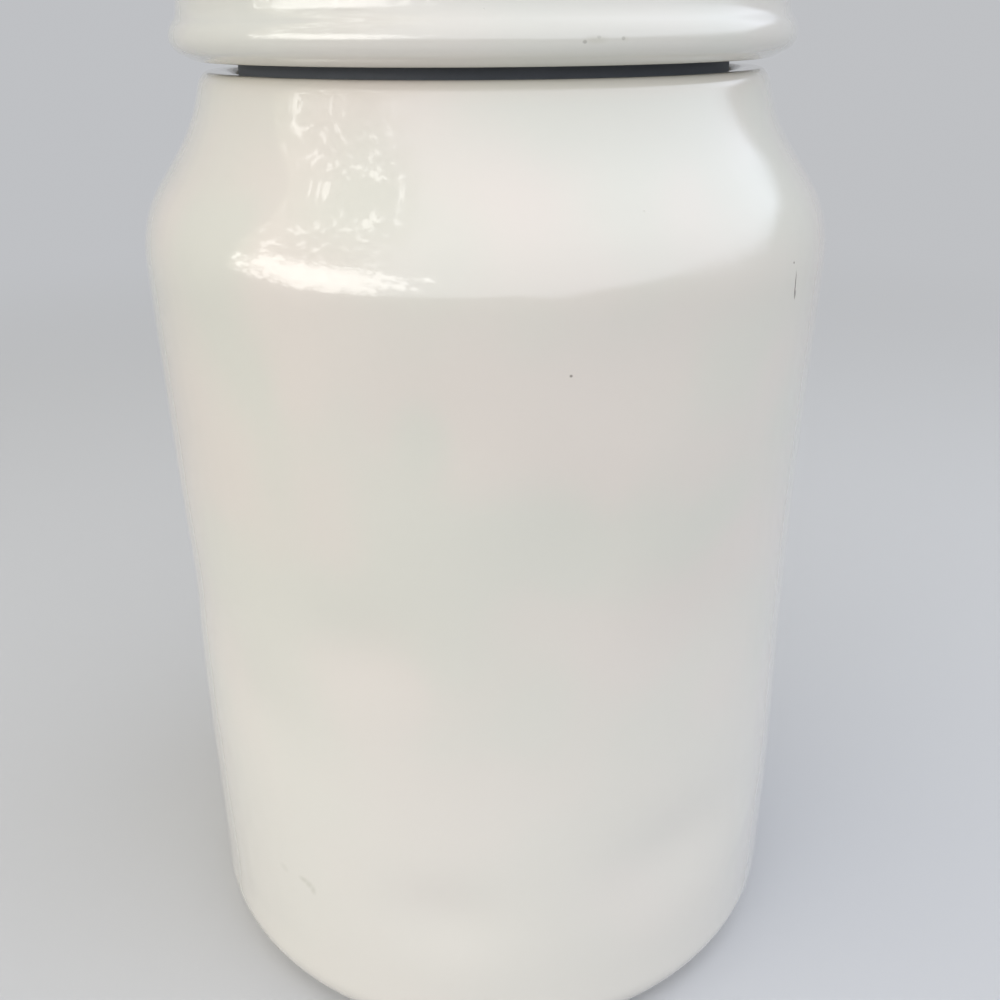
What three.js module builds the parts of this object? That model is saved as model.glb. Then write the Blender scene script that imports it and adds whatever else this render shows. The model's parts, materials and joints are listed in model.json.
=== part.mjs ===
// A glazed stoneware storage canister in the shape of a preserving jar: a straight round body
// with a sloping shoulder and a thick lip, a cap-shaped lid with a rolled rim, and the silicone
// seal that the lid's plug carries. Millimetres, +Z up, origin at the centre of the foot.
import * as THREE from "three";

// Jar, outside. Leans are in degrees from upright, towards the axis.
const BODY_RADIUS = 83.5; // the widest that the hand-finished wall gets
const BODY_HEIGHT = 231.8; // foot to the crest of the lip
const BASE_CORNER = 12.8; // turn from the foot into the wall
const SHOULDER_RADIUS = 29; // convex turn at the top of the straight wall
const SHOULDER_LEAN = 35.5; // on the shoulder's slope
const SHOULDER_SLOPE = 8.5; // straight part of that slope
const COVE_RADIUS = 39.6; // hollow turn from the slope up to the neck
const NECK_LEAN = 15.6;
const NECK_LENGTH = 2.5; // straight part under the lip
const LIP_RADIUS = 5.1; // outer rounding of the lip
const LIP_LEAN = 45; // where a tighter turn takes over
const LIP_EDGE_RADIUS = 2; // that turn, which ends in the flat crest
const LIP_FLAT = 2; // width of the flat crest
const FOOT_WIDTH = 8; // flat ring that the jar stands on
const FOOT_RECESS = 2.4; // the underside is raised this far inside that ring

// Jar, inside.
const WALL = 6;
const FLOOR = 7;
const FLOOR_CORNER = 9;
const LIP_INNER_RADIUS = 5.2; // inner rounding of the lip
const MOUTH_LAND = 6.6; // upright band in the mouth, where the seal bears
const INNER_NECK_LEAN = 29; // where the inside leaves the wall's line for the thick lip

// Lid, outside.
const LID_GAP = 2.2; // crest of the lip to the flat under the lid's rim
const RIM_OVERHANG = 5.2; // widest point of the rim past the neck, for the fingertips
const RIM_FLAT = 4.2; // flat under the rim, inwards from its lower edge
const RIM_SLOPE = 26; // degrees that the underside rises outwards from that edge
const RIM_SLOPE_LENGTH = 3.4;
const RIM_TURN = 3.6; // from the underside up to the widest point
const RIM_RADIUS = 5; // convex turn above the widest point
const RIM_LEAN = 40; // where that turn meets the next
const RIM_COVE = 4.2; // hollow turn into the side
const SIDE_LEAN = 5;
const SIDE_LENGTH = 4.2;
const EDGE_RADIUS = 6; // rounding from the side to the top
const DOME_SLOPE = 4; // degrees that the top falls at its edge

// Lid, inside.
const LID_WALL = 6; // side and top
const RIM_INNER_RADIUS = 3; // inner rounding of the rim
const RIM_DEPTH = 8.4; // height of the thick rim on its inner side
const PLUG_WALL = 5.3;
const BEAD_LENGTH = 4; // the plug's end under the seal
const BEAD_STEP = 2; // that end stands out this far from the groove
const COLLAR_STEP = 2.3; // the plug's root stands out this far from the groove
const LID_FILLET = 3;
const PLUG_FILLET = 1.6;

// Seal.
const SEAL_LENGTH = 14;
const SEAL_TUCK = 0.6; // its top lies this far above the flat under the rim
const SLEEVE_WALL = 2.4;
const FIN_REACH = 5.4;
const FIN_COUNT = 2;
const FIN_SPACING = 3.4;
const FIN_FIRST = 1.3; // bottom edge up to the lowest fin
const FIN_RISE = 1; // each fin's tip above its root
const FIN_ROOT = 1.8; // thickness
const FIN_TIP = 0.7;
const FLANGE_REACH = 6.2; // the flange on the lip stands out this far from the sleeve
const FLANGE_ROOT = 2.6; // thickness at the sleeve
const CLEARANCE = 0.3; // between the seal and all that it bears on

// Facets.
const ROUND_FACETS = 48; // round the axis
const ARC_FACET = 16; // degrees that a section may turn between two points
const DOME_FACETS = 3;
const COINCIDENT = 1e-6;

const UP = 0;
const INWARD = Math.PI / 2;
const DOWN = Math.PI;
const OUTWARD = -Math.PI / 2;

const degrees = (angle) => THREE.MathUtils.degToRad(angle);
const point = (r, z) => new THREE.Vector2(r, z);
const steps = (turn) => Math.max(1, Math.ceil(Math.abs(turn) / degrees(ARC_FACET)));

// Draws a section as straight runs and arcs that follow on smoothly. A heading is in radians
// from straight up, and grows towards the axis.
class Pen {
  constructor(start, heading) {
    this.points = [start];
    this.heading = heading;
  }

  get end() {
    return this.points.at(-1);
  }

  line(length) {
    const along = point(-Math.sin(this.heading), Math.cos(this.heading));
    this.points.push(this.end.clone().addScaledVector(along, length));
    return this;
  }

  bend(radius, heading, count = steps(heading - this.heading)) {
    const side = Math.sign(heading - this.heading) * radius;
    const spoke = (angle) => point(Math.cos(angle), Math.sin(angle));
    const centre = this.end.clone().addScaledVector(spoke(this.heading), -side);
    const from = this.heading;
    for (let i = 1; i <= count; i += 1) {
      const angle = from + ((heading - from) * i) / count;
      this.points.push(centre.clone().addScaledVector(spoke(angle), side));
    }
    this.heading = heading;
    return this;
  }
}

const corner = (r, z, radius = 0) => ({ at: point(r, z), radius });

// A section through corners. A corner with a radius is rounded, as far as its sides have room.
function throughCorners(corners) {
  return corners.flatMap(({ at, radius }, i) => {
    const neighbours = [corners[i - 1], corners[i + 1]];
    if (radius === 0 || neighbours.includes(undefined)) return [at];
    const [back, on] = neighbours.map((next) => next.at.clone().sub(at));
    const rooms = neighbours.map((next) => next.at.distanceTo(at) / (next.radius ? 2 : 1));
    const opening = back.angleTo(on);
    const reach = Math.min(radius / Math.tan(opening / 2), ...rooms);
    const start = at.clone().addScaledVector(back.normalize(), reach);
    const turn = (Math.PI - opening) * -Math.sign(back.cross(on));
    const heading = Math.atan2(back.x, -back.y);
    const pen = new Pen(start, heading);
    return pen.bend(reach * Math.tan(opening / 2), heading + turn).points;
  });
}

// Revolves a section about +Z. Points that coincide are kept once, and the ends meet the axis.
function revolve(section) {
  const kept = section.filter((p, i) => i === 0 || p.distanceTo(section[i - 1]) > COINCIDENT);
  const onAxis = kept.map((p) => (Math.abs(p.x) < COINCIDENT ? point(0, p.y) : p));
  const geometry = new THREE.LatheGeometry(onAxis, ROUND_FACETS);
  geometry.rotateX(Math.PI / 2);
  return geometry;
}

// Jar.

// The wall's line over the shoulder and up the neck, on the outside or inset from it.
function overShoulder(pen, inset, neckLean) {
  return pen
    .bend(SHOULDER_RADIUS - inset, degrees(SHOULDER_LEAN))
    .line(SHOULDER_SLOPE)
    .bend(COVE_RADIUS + inset, degrees(neckLean));
}

function neck(wallTop) {
  return overShoulder(new Pen(point(BODY_RADIUS, wallTop), UP), 0, NECK_LEAN).line(NECK_LENGTH);
}

function jarTop(wallTop) {
  return neck(wallTop)
    .bend(LIP_RADIUS, degrees(LIP_LEAN))
    .bend(LIP_EDGE_RADIUS, INWARD)
    .line(LIP_FLAT);
}

const wallTop = BODY_HEIGHT - jarTop(0).end.y;
const crest = jarTop(wallTop).end; // inner edge of the flat crest
const neckRadius = neck(wallTop).end.x;
const mouthRadius = crest.x - LIP_INNER_RADIUS;

function jar() {
  const footOuter = BODY_RADIUS - BASE_CORNER;
  const footInner = footOuter - FOOT_WIDTH;
  const outside = new Pen(point(footOuter, 0), OUTWARD).bend(BASE_CORNER, UP);
  const lip = jarTop(wallTop).bend(LIP_INNER_RADIUS, DOWN).line(MOUTH_LAND);

  const floorEdge = point(BODY_RADIUS - WALL - FLOOR_CORNER, FLOOR);
  const inside = new Pen(floorEdge, OUTWARD).bend(FLOOR_CORNER, UP);
  inside.line(wallTop - inside.end.y);
  overShoulder(inside, WALL, INNER_NECK_LEAN);

  return revolve([
    point(0, FOOT_RECESS),
    point(footInner - FOOT_RECESS, FOOT_RECESS),
    point(footInner, 0),
    ...outside.points,
    ...lip.points,
    ...inside.points.reverse(),
    point(0, FLOOR),
  ]);
}

// Seal. Its tips bear on the mouth, its flange on the lip, and its sleeve on the lid's plug.

const rimBottom = crest.y + LID_GAP;
const sealTop = rimBottom + SEAL_TUCK;
const sealBottom = sealTop - SEAL_LENGTH;
const finRadius = mouthRadius - CLEARANCE;
const sleeveOuter = finRadius - FIN_REACH;
const sleeveInner = sleeveOuter - SLEEVE_WALL;
const flangeRadius = sleeveOuter + FLANGE_REACH;
const flangeBottom =
  crest.y -
  LIP_INNER_RADIUS +
  Math.sqrt((LIP_INNER_RADIUS + CLEARANCE) ** 2 - (crest.x - flangeRadius) ** 2);

function fin(root) {
  return [
    point(sleeveOuter, root - FIN_ROOT / 2),
    point(finRadius, root + FIN_RISE - FIN_TIP / 2),
    point(finRadius, root + FIN_RISE + FIN_TIP / 2),
    point(sleeveOuter, root + FIN_ROOT / 2),
  ];
}

function seal() {
  const roots = Array.from({ length: FIN_COUNT }, (_, i) => sealBottom + FIN_FIRST + i * FIN_SPACING);
  const start = point(sleeveInner, sealBottom);
  return revolve([
    start,
    point(sleeveOuter, sealBottom),
    ...roots.flatMap(fin),
    point(sleeveOuter, sealTop - FLANGE_ROOT),
    point(flangeRadius, flangeBottom),
    point(flangeRadius, sealTop),
    point(sleeveInner, sealTop),
    start.clone(),
  ]);
}

// Lid.

const grooveRadius = sleeveInner - CLEARANCE;
const plugInner = grooveRadius - PLUG_WALL;
const plugBottom = sealBottom - CLEARANCE - BEAD_LENGTH;

// From the rim's lower edge out to the widest point.
function rimUnderside(edge) {
  return new Pen(edge, OUTWARD + degrees(RIM_SLOPE)).line(RIM_SLOPE_LENGTH).bend(RIM_TURN, UP);
}

// From that edge up the side and over the top to the axis.
function lidOutside(edge) {
  const pen = rimUnderside(edge)
    .bend(RIM_RADIUS, degrees(RIM_LEAN))
    .bend(RIM_COVE, degrees(SIDE_LEAN));
  const sideRadius = pen.end.x;
  pen.line(SIDE_LENGTH).bend(EDGE_RADIUS, INWARD - degrees(DOME_SLOPE));
  const topEdge = pen.end.y;
  pen.bend(pen.end.x / Math.sin(degrees(DOME_SLOPE)), INWARD, DOME_FACETS);
  return { points: pen.points, sideRadius, topEdge };
}

function lid() {
  const underReach = rimUnderside(point(0, 0)).end.x;
  const edge = point(neckRadius + RIM_OVERHANG - underReach, rimBottom);
  const outside = lidOutside(edge);
  const ceiling = outside.topEdge - LID_WALL;
  const sideInner = outside.sideRadius - LID_WALL;
  const rimInner = edge.x - RIM_FLAT - RIM_INNER_RADIUS;
  const bead = grooveRadius + BEAD_STEP;
  const collar = grooveRadius + COLLAR_STEP;
  const grooveBottom = sealBottom - CLEARANCE;
  const grooveTop = sealTop + CLEARANCE;

  const inside = throughCorners([
    corner(0, ceiling),
    corner(plugInner, ceiling, LID_FILLET),
    corner(plugInner, plugBottom, PLUG_FILLET),
    corner(bead, plugBottom, PLUG_FILLET),
    corner(bead, grooveBottom),
    corner(grooveRadius, grooveBottom),
    corner(grooveRadius, grooveTop),
    corner(collar, grooveTop),
    corner(collar, ceiling, LID_FILLET),
    corner(sideInner, ceiling, LID_FILLET),
    corner(sideInner, rimBottom + RIM_DEPTH),
    corner(rimInner, rimBottom + RIM_DEPTH - (sideInner - rimInner)),
    corner(rimInner, rimBottom, RIM_INNER_RADIUS),
    corner(edge.x, edge.y),
  ]);
  return revolve([...inside, ...outside.points]);
}

// Finishes.
const glaze = { color: 0xdad4c9, roughness: 0.12, metalness: 0 };
const silicone = { color: 0x4b5058, roughness: 0.6, metalness: 0 };

function piece(name, geometry, finish) {
  const mesh = new THREE.Mesh(geometry, new THREE.MeshStandardMaterial(finish));
  mesh.name = name;
  return mesh;
}

const canister = new THREE.Group();
canister.add(
  piece("canister_body", jar(), glaze),
  piece("seal_ring", seal(), silicone),
  piece("lid", lid(), glaze),
);

export default canister;
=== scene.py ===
"""A glazed stoneware storage canister: a straight round jar with a sloping shoulder and a thick
lip, a cap-shaped lid with a rolled rim, and the silicone seal on the lid's plug."""

import json
import math
from typing import NamedTuple

import bmesh
import bpy
import numpy as np
from bpy.props import FloatProperty, FloatVectorProperty, IntProperty, PointerProperty
from bpy.types import Operator, Panel, PropertyGroup
from mathutils import Matrix, Vector

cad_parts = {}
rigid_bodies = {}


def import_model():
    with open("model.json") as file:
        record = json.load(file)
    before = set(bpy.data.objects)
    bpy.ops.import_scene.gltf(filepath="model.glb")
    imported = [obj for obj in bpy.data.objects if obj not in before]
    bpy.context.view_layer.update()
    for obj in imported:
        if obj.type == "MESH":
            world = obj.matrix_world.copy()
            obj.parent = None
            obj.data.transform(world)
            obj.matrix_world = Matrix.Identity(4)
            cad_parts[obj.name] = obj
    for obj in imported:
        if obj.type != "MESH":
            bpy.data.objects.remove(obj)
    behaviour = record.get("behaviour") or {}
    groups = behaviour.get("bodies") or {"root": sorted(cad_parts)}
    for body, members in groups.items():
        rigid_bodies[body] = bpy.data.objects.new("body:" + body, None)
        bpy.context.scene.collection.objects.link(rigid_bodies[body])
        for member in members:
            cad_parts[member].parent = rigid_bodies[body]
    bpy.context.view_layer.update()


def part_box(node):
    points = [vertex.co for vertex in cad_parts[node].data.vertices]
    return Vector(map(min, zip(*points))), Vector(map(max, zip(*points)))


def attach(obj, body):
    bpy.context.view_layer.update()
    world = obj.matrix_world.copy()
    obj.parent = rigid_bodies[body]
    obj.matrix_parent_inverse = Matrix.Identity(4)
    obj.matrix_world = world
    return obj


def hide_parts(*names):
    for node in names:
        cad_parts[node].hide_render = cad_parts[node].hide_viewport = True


bl_info = {
    "name": "Ceramic Canister",
    "version": (1, 0, 0),
    "blender": (4, 5, 0),
    "location": "View3D > Sidebar > Canister",
    "description": "Builds a glazed storage canister, its lid and seal, and a plain studio",
    "category": "Add Mesh",
}

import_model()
JAR_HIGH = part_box("canister_body")[1]
LID_LOW, LID_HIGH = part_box("lid")
SEAL_LOW, SEAL_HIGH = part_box("seal_ring")

# Headings of a section, in radians from straight up and growing towards the axis.
UP = 0.0
INWARD = math.pi / 2
DOWN = math.pi
OUTWARD = -math.pi / 2

# Fineness of the meshes.
ROUND_STEPS = 256
ARC_STEP = math.radians(4.5)
RUN_STEP = 0.0022
SAME_POINT = 1e-7

FRONT = math.radians(-90)  # the side towards the camera, round the axis

GLAZE_CREEP = 0.0025  # how far along a section one bend's effect on the glaze spreads
BEND_LIMIT = 300.0  # the sharpest bend that counts, in radians per metre


class Dent(NamedTuple):
    """A shallow hollow in the hand-finished wall, or a swell if its depth is negative."""

    angle: float  # degrees round the axis, with the front at -90
    height: float
    across: float  # reach round the wall
    along: float  # reach up the wall
    depth: float


FRONT_DENTS = (
    Dent(-99, 0.168, 0.013, 0.012, 0.00165),
    Dent(-79, 0.144, 0.012, 0.020, 0.00150),
    Dent(-68, 0.181, 0.015, 0.009, 0.00120),
    Dent(-110, 0.117, 0.010, 0.008, 0.00110),
    Dent(-58, 0.053, 0.015, 0.010, 0.00180),
    Dent(-98, 0.044, 0.011, 0.008, 0.00160),
    Dent(-127, 0.175, 0.011, 0.010, 0.00070),
    Dent(-131, 0.093, 0.013, 0.011, 0.00075),
    Dent(-57, 0.118, 0.012, 0.012, 0.00075),
    Dent(-86, 0.090, 0.016, 0.018, 0.00050),
    Dent(-27, 0.126, 0.044, 0.036, 0.00095),
    Dent(-30, 0.041, 0.034, 0.026, -0.00070),
    Dent(-150, 0.150, 0.036, 0.026, 0.00050),
)
# The ranges that the other dents are drawn from.
DENT_ANGLES = (-15, 210)
DENT_HEIGHTS = (0.035, 0.185)
DENT_REACHES = (0.010, 0.022)
DENT_DEPTHS = (-0.0003, 0.0010)


class Mark(NamedTuple):
    """A small flaw in the glaze, by its place and its reach into, round and up the wall."""

    angle: float
    radius: float
    height: float
    reach: tuple
    strength: float


JAR_MARKS = (
    Mark(-78.8, 0.0828, 0.1805, (0.002, 0.00050, 0.00045), 0.75),
    Mark(-38.1, 0.0822, 0.1908, (0.003, 0.00030, 0.0036), 0.9),
    Mark(-37.8, 0.0822, 0.1886, (0.003, 0.00036, 0.0014), 0.9),
    Mark(-38.9, 0.0818, 0.1955, (0.002, 0.00040, 0.0004), 0.8),
)
JAR_SMUDGES = (
    Mark(-125.4, 0.0830, 0.0438, (0.003, 0.0026, 0.0015), 0.30),
    Mark(-124.3, 0.0830, 0.0432, (0.003, 0.0020, 0.0019), 0.30),
    Mark(-123.4, 0.0830, 0.0420, (0.003, 0.0014, 0.0024), 0.26),
    Mark(-130.5, 0.0830, 0.0438, (0.003, 0.0024, 0.0019), 0.13),
)
JAR_WARM = (
    Mark(-117, 0.0830, 0.177, (0.010, 0.013, 0.016), 0.22),
    Mark(-101, 0.0830, 0.050, (0.010, 0.013, 0.012), 0.20),
    Mark(-104, 0.0830, 0.110, (0.010, 0.010, 0.012), 0.14),
)
JAR_COOL = (
    Mark(-99, 0.0830, 0.169, (0.010, 0.010, 0.013), 0.26),
    Mark(-127, 0.0785, 0.206, (0.010, 0.010, 0.012), 0.16),
    Mark(-78, 0.0830, 0.146, (0.010, 0.012, 0.018), 0.18),
)
LID_MARKS = (
    Mark(-75.5, 0.0718, 0.2383, (0.002, 0.00055, 0.00042), 0.36),
    Mark(-73.4, 0.0718, 0.2390, (0.002, 0.00050, 0.00035), 0.20),
    Mark(-69.6, 0.0718, 0.2388, (0.002, 0.00048, 0.00040), 0.30),
)
LID_SMUDGES = (
    Mark(-73.8, 0.0718, 0.2386, (0.002, 0.00320, 0.00110), 0.30),
    Mark(-69.3, 0.0718, 0.2388, (0.002, 0.00120, 0.00070), 0.16),
)


# Sections and meshes.


class Pen:
    """Draws a section in radius and height as straight runs and arcs that follow on smoothly."""

    def __init__(self, radius, height, heading=UP):
        self.points = [(radius, height)]
        self.heading = heading

    @property
    def end(self):
        return self.points[-1]

    def line(self, length):
        radius, height = self.end
        self.points.append((
            radius - math.sin(self.heading) * length,
            height + math.cos(self.heading) * length,
        ))
        return self

    def bend(self, bend_radius, heading):
        turn = heading - self.heading
        side = math.copysign(bend_radius, turn)
        radius = self.end[0] - side * math.cos(self.heading)
        height = self.end[1] - side * math.sin(self.heading)
        count = math.ceil(max(abs(turn) / ARC_STEP, abs(turn) * bend_radius / RUN_STEP))
        for i in range(1, count + 1):
            angle = self.heading + turn * i / count
            self.points.append((radius + side * math.cos(angle), height + side * math.sin(angle)))
        self.heading = heading
        return self


def rounded(corners, closed=False):
    """A section through (radius, height, rounding) corners, rounded as far as their sides allow."""
    points = []
    count = len(corners)
    for i, (radius, height, rounding) in enumerate(corners):
        at = np.array((radius, height))
        ends = not closed and i in (0, count - 1)
        if ends or rounding == 0:
            points.append(tuple(at))
            continue
        sides = []
        for neighbour in (corners[i - 1], corners[(i + 1) % count]):
            side = np.array(neighbour[:2]) - at
            room = np.linalg.norm(side)
            sides.append((side / room, room / (2 if neighbour[2] else 1)))
        (back, back_room), (on, on_room) = sides
        opening = math.acos(float(np.clip(back @ on, -1, 1)))
        reach = min(rounding / math.tan(opening / 2), back_room, on_room)
        start = at + back * reach
        turn = (math.pi - opening) * -math.copysign(1, back[0] * on[1] - back[1] * on[0])
        heading = math.atan2(back[0], -back[1])
        pen = Pen(*start, heading).bend(reach * math.tan(opening / 2), heading + turn)
        points.extend(pen.points)
    return points


def refined(section):
    """The section without doubled points, and with long runs split so that shading stays even."""
    points = [section[0]]
    for point in section[1:]:
        length = math.dist(points[-1], point)
        if length < SAME_POINT:
            continue
        count = math.ceil(length / RUN_STEP)
        start = np.array(points[-1])
        step = (np.array(point) - start) / count
        points.extend(tuple(start + step * (i + 1)) for i in range(count))
    return np.array(points)


def build_up(section):
    """How thickly the glaze lies at each point of a section: 1 in hollows, 0 over sharp edges."""
    before = np.roll(section, 1, axis=0)
    after = np.roll(section, -1, axis=0)
    runs = (section - before, after - section)
    lengths = [np.maximum(np.linalg.norm(run, axis=1), SAME_POINT) for run in runs]
    headings = [np.unwrap(np.arctan2(-run[:, 0], run[:, 1])) for run in runs]
    bend = (headings[1] - headings[0]) / ((lengths[0] + lengths[1]) / 2)
    bend[0] = bend[-1] = 0
    along = np.cumsum(lengths[0])
    nearness = np.exp(-(((along[:, None] - along) / GLAZE_CREEP) ** 2) / 2) * lengths[0]
    smooth = nearness @ np.clip(bend, -BEND_LIMIT, BEND_LIMIT) / nearness.sum(1)
    return np.clip(0.5 - smooth / BEND_LIMIT, 0, 1)


def give_values(mesh, name, values):
    """One number for each vertex, which a material reads by its name."""
    layer = mesh.attributes.new(name, "FLOAT", "POINT")
    layer.data.foreach_set("value", np.array(values, np.float32))


def lathe(name, section, displace, closed=False):
    """A mesh turned from a section. displace(angles, radius, height) gives the radial offsets."""
    points = refined(section)
    if closed:
        points = points[:-1]
    angles = FRONT + np.arange(ROUND_STEPS) * 2 * math.pi / ROUND_STEPS
    radius, height = points[:, :1], points[:, 1:]
    radii = radius + displace(angles, radius, height)
    rings = np.stack([
        radii * np.cos(angles),
        radii * np.sin(angles),
        np.broadcast_to(height, radii.shape),
    ], axis=-1)
    first, last = (0, len(points)) if closed else (1, len(points) - 1)
    vertices = rings[first:last].reshape(-1, 3)
    thickness = np.repeat(build_up(points)[first:last], ROUND_STEPS)
    count = last - first
    around = np.arange(ROUND_STEPS)
    onward = (around + 1) % ROUND_STEPS
    faces = []
    for i in range(count if closed else count - 1):
        low, high = i * ROUND_STEPS, (i + 1) % count * ROUND_STEPS
        corners = [low + around, low + onward, high + onward, high + around]
        faces.extend(np.stack(corners, 1).tolist())
    if not closed:
        for ring, pole in ((0, points[0]), (count - 1, points[-1])):
            vertices = np.vstack([vertices, (0, 0, pole[1])])
            thickness = np.append(thickness, thickness[ring * ROUND_STEPS])
            centre = np.full(ROUND_STEPS, len(vertices) - 1)
            low = ring * ROUND_STEPS
            faces.extend(np.stack([low + around, low + onward, centre], 1).tolist())
    mesh = bpy.data.meshes.new(name)
    mesh.from_pydata(vertices.tolist(), [], faces)
    turned = bmesh.new()
    turned.from_mesh(mesh)
    bmesh.ops.recalc_face_normals(turned, faces=turned.faces)
    turned.to_mesh(mesh)
    turned.free()
    mesh.shade_smooth()
    give_values(mesh, "glaze_build_up", thickness)
    return mesh


def renewed(group, name, *data):
    """A new thing in place of any earlier one of its name, so that a step can be run again."""
    if name in group:
        group.remove(group[name])
    return group.new(name, *data)


def put_object(name, data):
    thing = renewed(bpy.data.objects, name, data)
    bpy.context.scene.collection.objects.link(thing)
    return thing


def put_piece(name, mesh, body, node, materials):
    """Shows a mesh in place of the CAD node that it stands for."""
    piece = put_object(name, mesh)
    for material in materials:
        mesh.materials.append(material)
    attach(piece, body)
    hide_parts(node)


def bare_below(mesh, height):
    """Gives the faces under a height the piece's second material, the bare clay."""
    for face in mesh.polygons:
        face.material_index = int(face.center.z < height)


def fade(values, start, end):
    """0 before start, 1 after end, and smooth in between."""
    t = np.clip((values - start) / (end - start), 0, 1)
    return t * t * (3 - 2 * t)


# Jar.

RECESS_ROUND = 0.0015
FOOT_ROUND = 0.0006
CLAY_TOP = 0.00075  # faces below this are bare

# Where the dents come in above the foot and away from the axis, and how they ease near the top.
DENTED_HEIGHTS = (0.001, 0.022)
DENTED_RADII = (0.040, 0.075)
EASE_HEIGHT, EASE_SHARE = 0.024, 0.85


def shoulder_line(pen, jar, inset, neck_lean):
    """The wall's line over the shoulder and up the neck, on the outside or inset from it."""
    pen.bend(jar.shoulder_radius - inset, jar.shoulder_lean)
    pen.line(jar.shoulder_slope)
    return pen.bend(jar.cove_radius + inset, neck_lean)


def jar_top(jar, wall_top):
    """The outside from the top of the straight wall to the inner edge of the lip's flat crest."""
    pen = shoulder_line(Pen(jar.radius, wall_top), jar, 0, jar.neck_lean).line(jar.neck_length)
    pen.bend(jar.lip_radius, jar.lip_lean).bend(jar.lip_edge_radius, INWARD)
    return pen.line(jar.lip_flat)


def wall_top(jar):
    return jar.height - jar_top(jar, 0).end[1]


def foot(jar):
    """The underside and foot ring, from the axis to where the glaze starts on the corner."""
    outer = jar.radius - jar.base_corner
    inner = outer - jar.foot_width
    flat = outer - jar.glaze_coat
    clay = Pen(flat, 0, OUTWARD).bend(jar.base_corner - jar.glaze_coat, OUTWARD + jar.foot_bare)
    return rounded([
        (0, jar.foot_recess, 0),
        (inner - jar.foot_recess, jar.foot_recess, RECESS_ROUND),
        (inner, 0, FOOT_ROUND),
        (flat, 0, 0),
    ]) + clay.points


def glazed_corner(jar):
    """The glaze from its edge just above the foot ring up to the straight wall."""
    outer = jar.radius - jar.base_corner
    corner = Pen(outer, 0, OUTWARD).bend(jar.base_corner, UP)
    return [
        (radius, height) for radius, height in corner.points
        if math.atan2(radius - outer, jar.base_corner - height) > jar.foot_bare + jar.glaze_edge
    ]


def jar_section(jar):
    """From the axis under the foot, up the outside, over the lip and back inside to the axis."""
    top = wall_top(jar)
    lip = jar_top(jar, top).bend(jar.lip_inner_radius, DOWN).line(jar.mouth_land)
    inside = Pen(jar.radius - jar.wall - jar.floor_corner, jar.floor, OUTWARD)
    inside.bend(jar.floor_corner, UP)
    inside.line(top - inside.end[1])
    shoulder_line(inside, jar, jar.wall, jar.inner_neck_lean)
    back = rounded([(*lip.end, 0), (*inside.end, 0)])
    return (
        foot(jar) + glazed_corner(jar) + lip.points + back
        + inside.points[::-1] + [(0, jar.floor)]
    )


def all_dents(jar):
    """The hollows that show at the front, and others like them all round the rest of the wall."""
    random = np.random.default_rng(jar.seed)
    dents = list(FRONT_DENTS)
    for _ in range(jar.dent_count):
        angle = random.uniform(*DENT_ANGLES)
        height = random.uniform(*DENT_HEIGHTS)
        across, along = random.uniform(*DENT_REACHES, 2)
        dents.append(Dent(angle, height, across, along, random.uniform(*DENT_DEPTHS)))
    return dents


def jar_offset(jar):
    """The wall's departure from a true circle. It never stands outside that circle."""
    dents = all_dents(jar)
    top = wall_top(jar)

    def offset(angles, radius, height):
        dip = jar.slack
        for dent in dents:
            turn = angles - math.radians(dent.angle)
            turn = (turn + math.pi) % (2 * math.pi) - math.pi
            aside = turn * jar.radius / dent.across
            above = (height - dent.height) / dent.along
            dip = dip + dent.depth * np.exp(-(aside**2 + above**2) / 2)
        held = fade(height, *DENTED_HEIGHTS) * fade(radius, *DENTED_RADII)
        held *= 1 - EASE_SHARE * fade(height, top, top + EASE_HEIGHT)
        return -np.maximum(dip, 0) * held

    return offset


# Lid.

CEILING_ROUND = 0.003
PLUG_END_ROUND = 0.0016
GROOVE_EDGE_ROUND = 0.0008
GROOVE_ROUND = 0.0005
RIM_HOLLOW_ROUND = 0.004

RIM_WAVES = ((2, 0.6, -0.30), (5, 1.1, 0.12), (9, 2.7, 0.08))  # lobes, phase and share
UNEVEN_RADII = (0.060, 0.067)
UNEVEN_RISE = 0.003


def rim_underside(lid, edge):
    """From the rim's lower edge out to the widest point."""
    pen = Pen(edge, lid.rim_bottom, OUTWARD + lid.rim_slope)
    return pen.line(lid.rim_slope_length).bend(lid.rim_turn, UP)


def lid_outside(lid):
    """From the rim's lower edge up the side and over the top to the axis."""
    pen = rim_underside(lid, lid.radius - rim_underside(lid, 0).end[0])
    pen.bend(lid.rim_radius, lid.rim_lean).bend(lid.rim_cove, lid.side_lean)
    side_radius = pen.end[0]
    pen.line(lid.side_length).bend(lid.edge_radius, INWARD - lid.dome_slope)
    top_edge = pen.end[1]
    pen.bend(pen.end[0] / math.sin(lid.dome_slope), INWARD)
    return pen.points, side_radius, top_edge


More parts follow.
